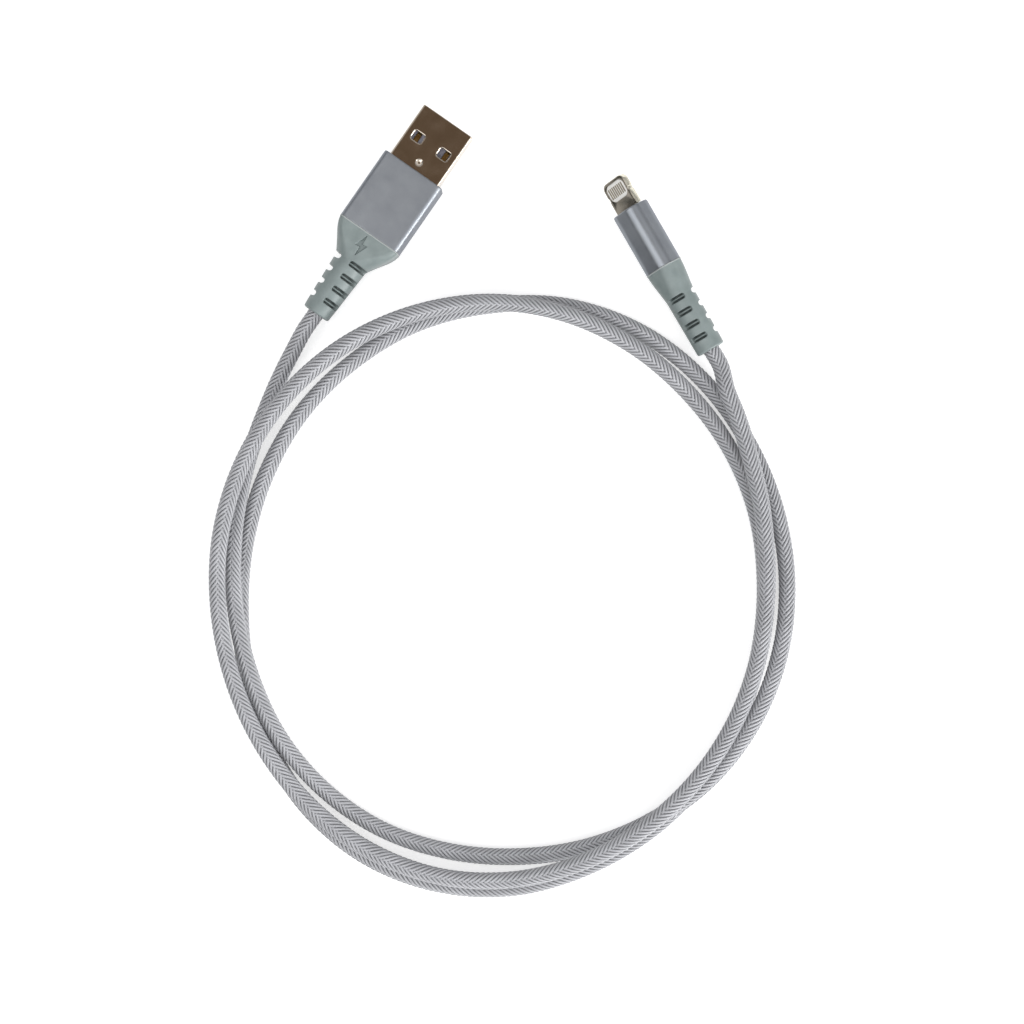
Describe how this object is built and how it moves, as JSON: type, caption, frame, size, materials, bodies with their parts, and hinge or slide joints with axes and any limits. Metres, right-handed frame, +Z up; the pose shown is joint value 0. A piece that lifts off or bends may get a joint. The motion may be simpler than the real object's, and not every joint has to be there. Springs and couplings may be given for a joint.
{
  "type": "charging cable",
  "caption": "Braided charging cable lying in loose loops, with a type-A plug and an eight-contact tab plug, each in a metal sleeve with a slotted strain relief.",
  "frame": {"origin": "middle of the charger plug's footprint on the table: sleeve, shell and boot together, at table height", "axes": "+Y along the charger plug from the cord to its tip, +X to the plug's right seen from above, +Z up from the table"},
  "size_m": [0.1307, 0.1474, 0.0118],
  "materials": {
    "braid": "silver-grey braided nylon, 2 over 2 herringbone, slight sheen",
    "boot_elastomer": "greenish grey moulded elastomer, satin",
    "sleeve_aluminium": "grey anodised, fine bead-blasted satin with bright rims",
    "plug_nickel": "bright nickel plate on folded sheet steel",
    "tab_nickel": "warm satin nickel plate on machined steel",
    "contact_gold": "thin gold plate, polished",
    "insulator_plastic": "pale lavender grey moulded plastic",
    "block_plastic": "off-white moulded plastic",
    "mould_plastic": "pale grey inner moulding",
    "jacket_plastic": "dark grey extruded jacket",
    "crimp_steel": "plain tinned steel",
    "wire_red": "extruded insulation",
    "wire_white": "extruded insulation",
    "wire_green": "extruded insulation",
    "wire_black": "extruded insulation",
    "circuit_board": "green solder mask",
    "chip_resin": "black moulded resin"
  },
  "bodies": {
    "root": {"charger_shell": "plug_nickel", "charger_insulator": "insulator_plastic", "charger_contact_power": "contact_gold", "charger_contact_data_minus": "contact_gold", "charger_contact_data_plus": "contact_gold", "charger_contact_ground": "contact_gold", "charger_inner_mould": "mould_plastic", "charger_sleeve": "sleeve_aluminium", "charger_boot": "boot_elastomer", "charger_cord_core": "jacket_plastic", "charger_crimp_ring": "crimp_steel", "charger_wire_red": "wire_red", "charger_wire_white": "wire_white", "charger_wire_green": "wire_green", "charger_wire_black": "wire_black", "phone_tab_frame": "tab_nickel", "phone_contact_block": "block_plastic", "phone_contact_top_1": "contact_gold", "phone_contact_top_2": "contact_gold", "phone_contact_top_3": "contact_gold", "phone_contact_top_4": "contact_gold", "phone_contact_top_5": "contact_gold", "phone_contact_top_6": "contact_gold", "phone_contact_top_7": "contact_gold", "phone_contact_top_8": "contact_gold", "phone_contact_bottom_1": "contact_gold", "phone_contact_bottom_2": "contact_gold", "phone_contact_bottom_3": "contact_gold", "phone_contact_bottom_4": "contact_gold", "phone_contact_bottom_5": "contact_gold", "phone_contact_bottom_6": "contact_gold", "phone_contact_bottom_7": "contact_gold", "phone_contact_bottom_8": "contact_gold", "phone_collar": "mould_plastic", "phone_board": "circuit_board", "phone_chip": "chip_resin", "phone_sleeve": "sleeve_aluminium", "phone_boot": "boot_elastomer", "phone_cord_core": "jacket_plastic", "phone_crimp_ring": "crimp_steel", "phone_wire_red": "wire_red", "phone_wire_white": "wire_white", "phone_wire_green": "wire_green", "phone_wire_black": "wire_black", "cord_charger_lead": "braid", "cord_loops": "braid", "cord_phone_lead": "braid"}
  },
  "joints": []
}
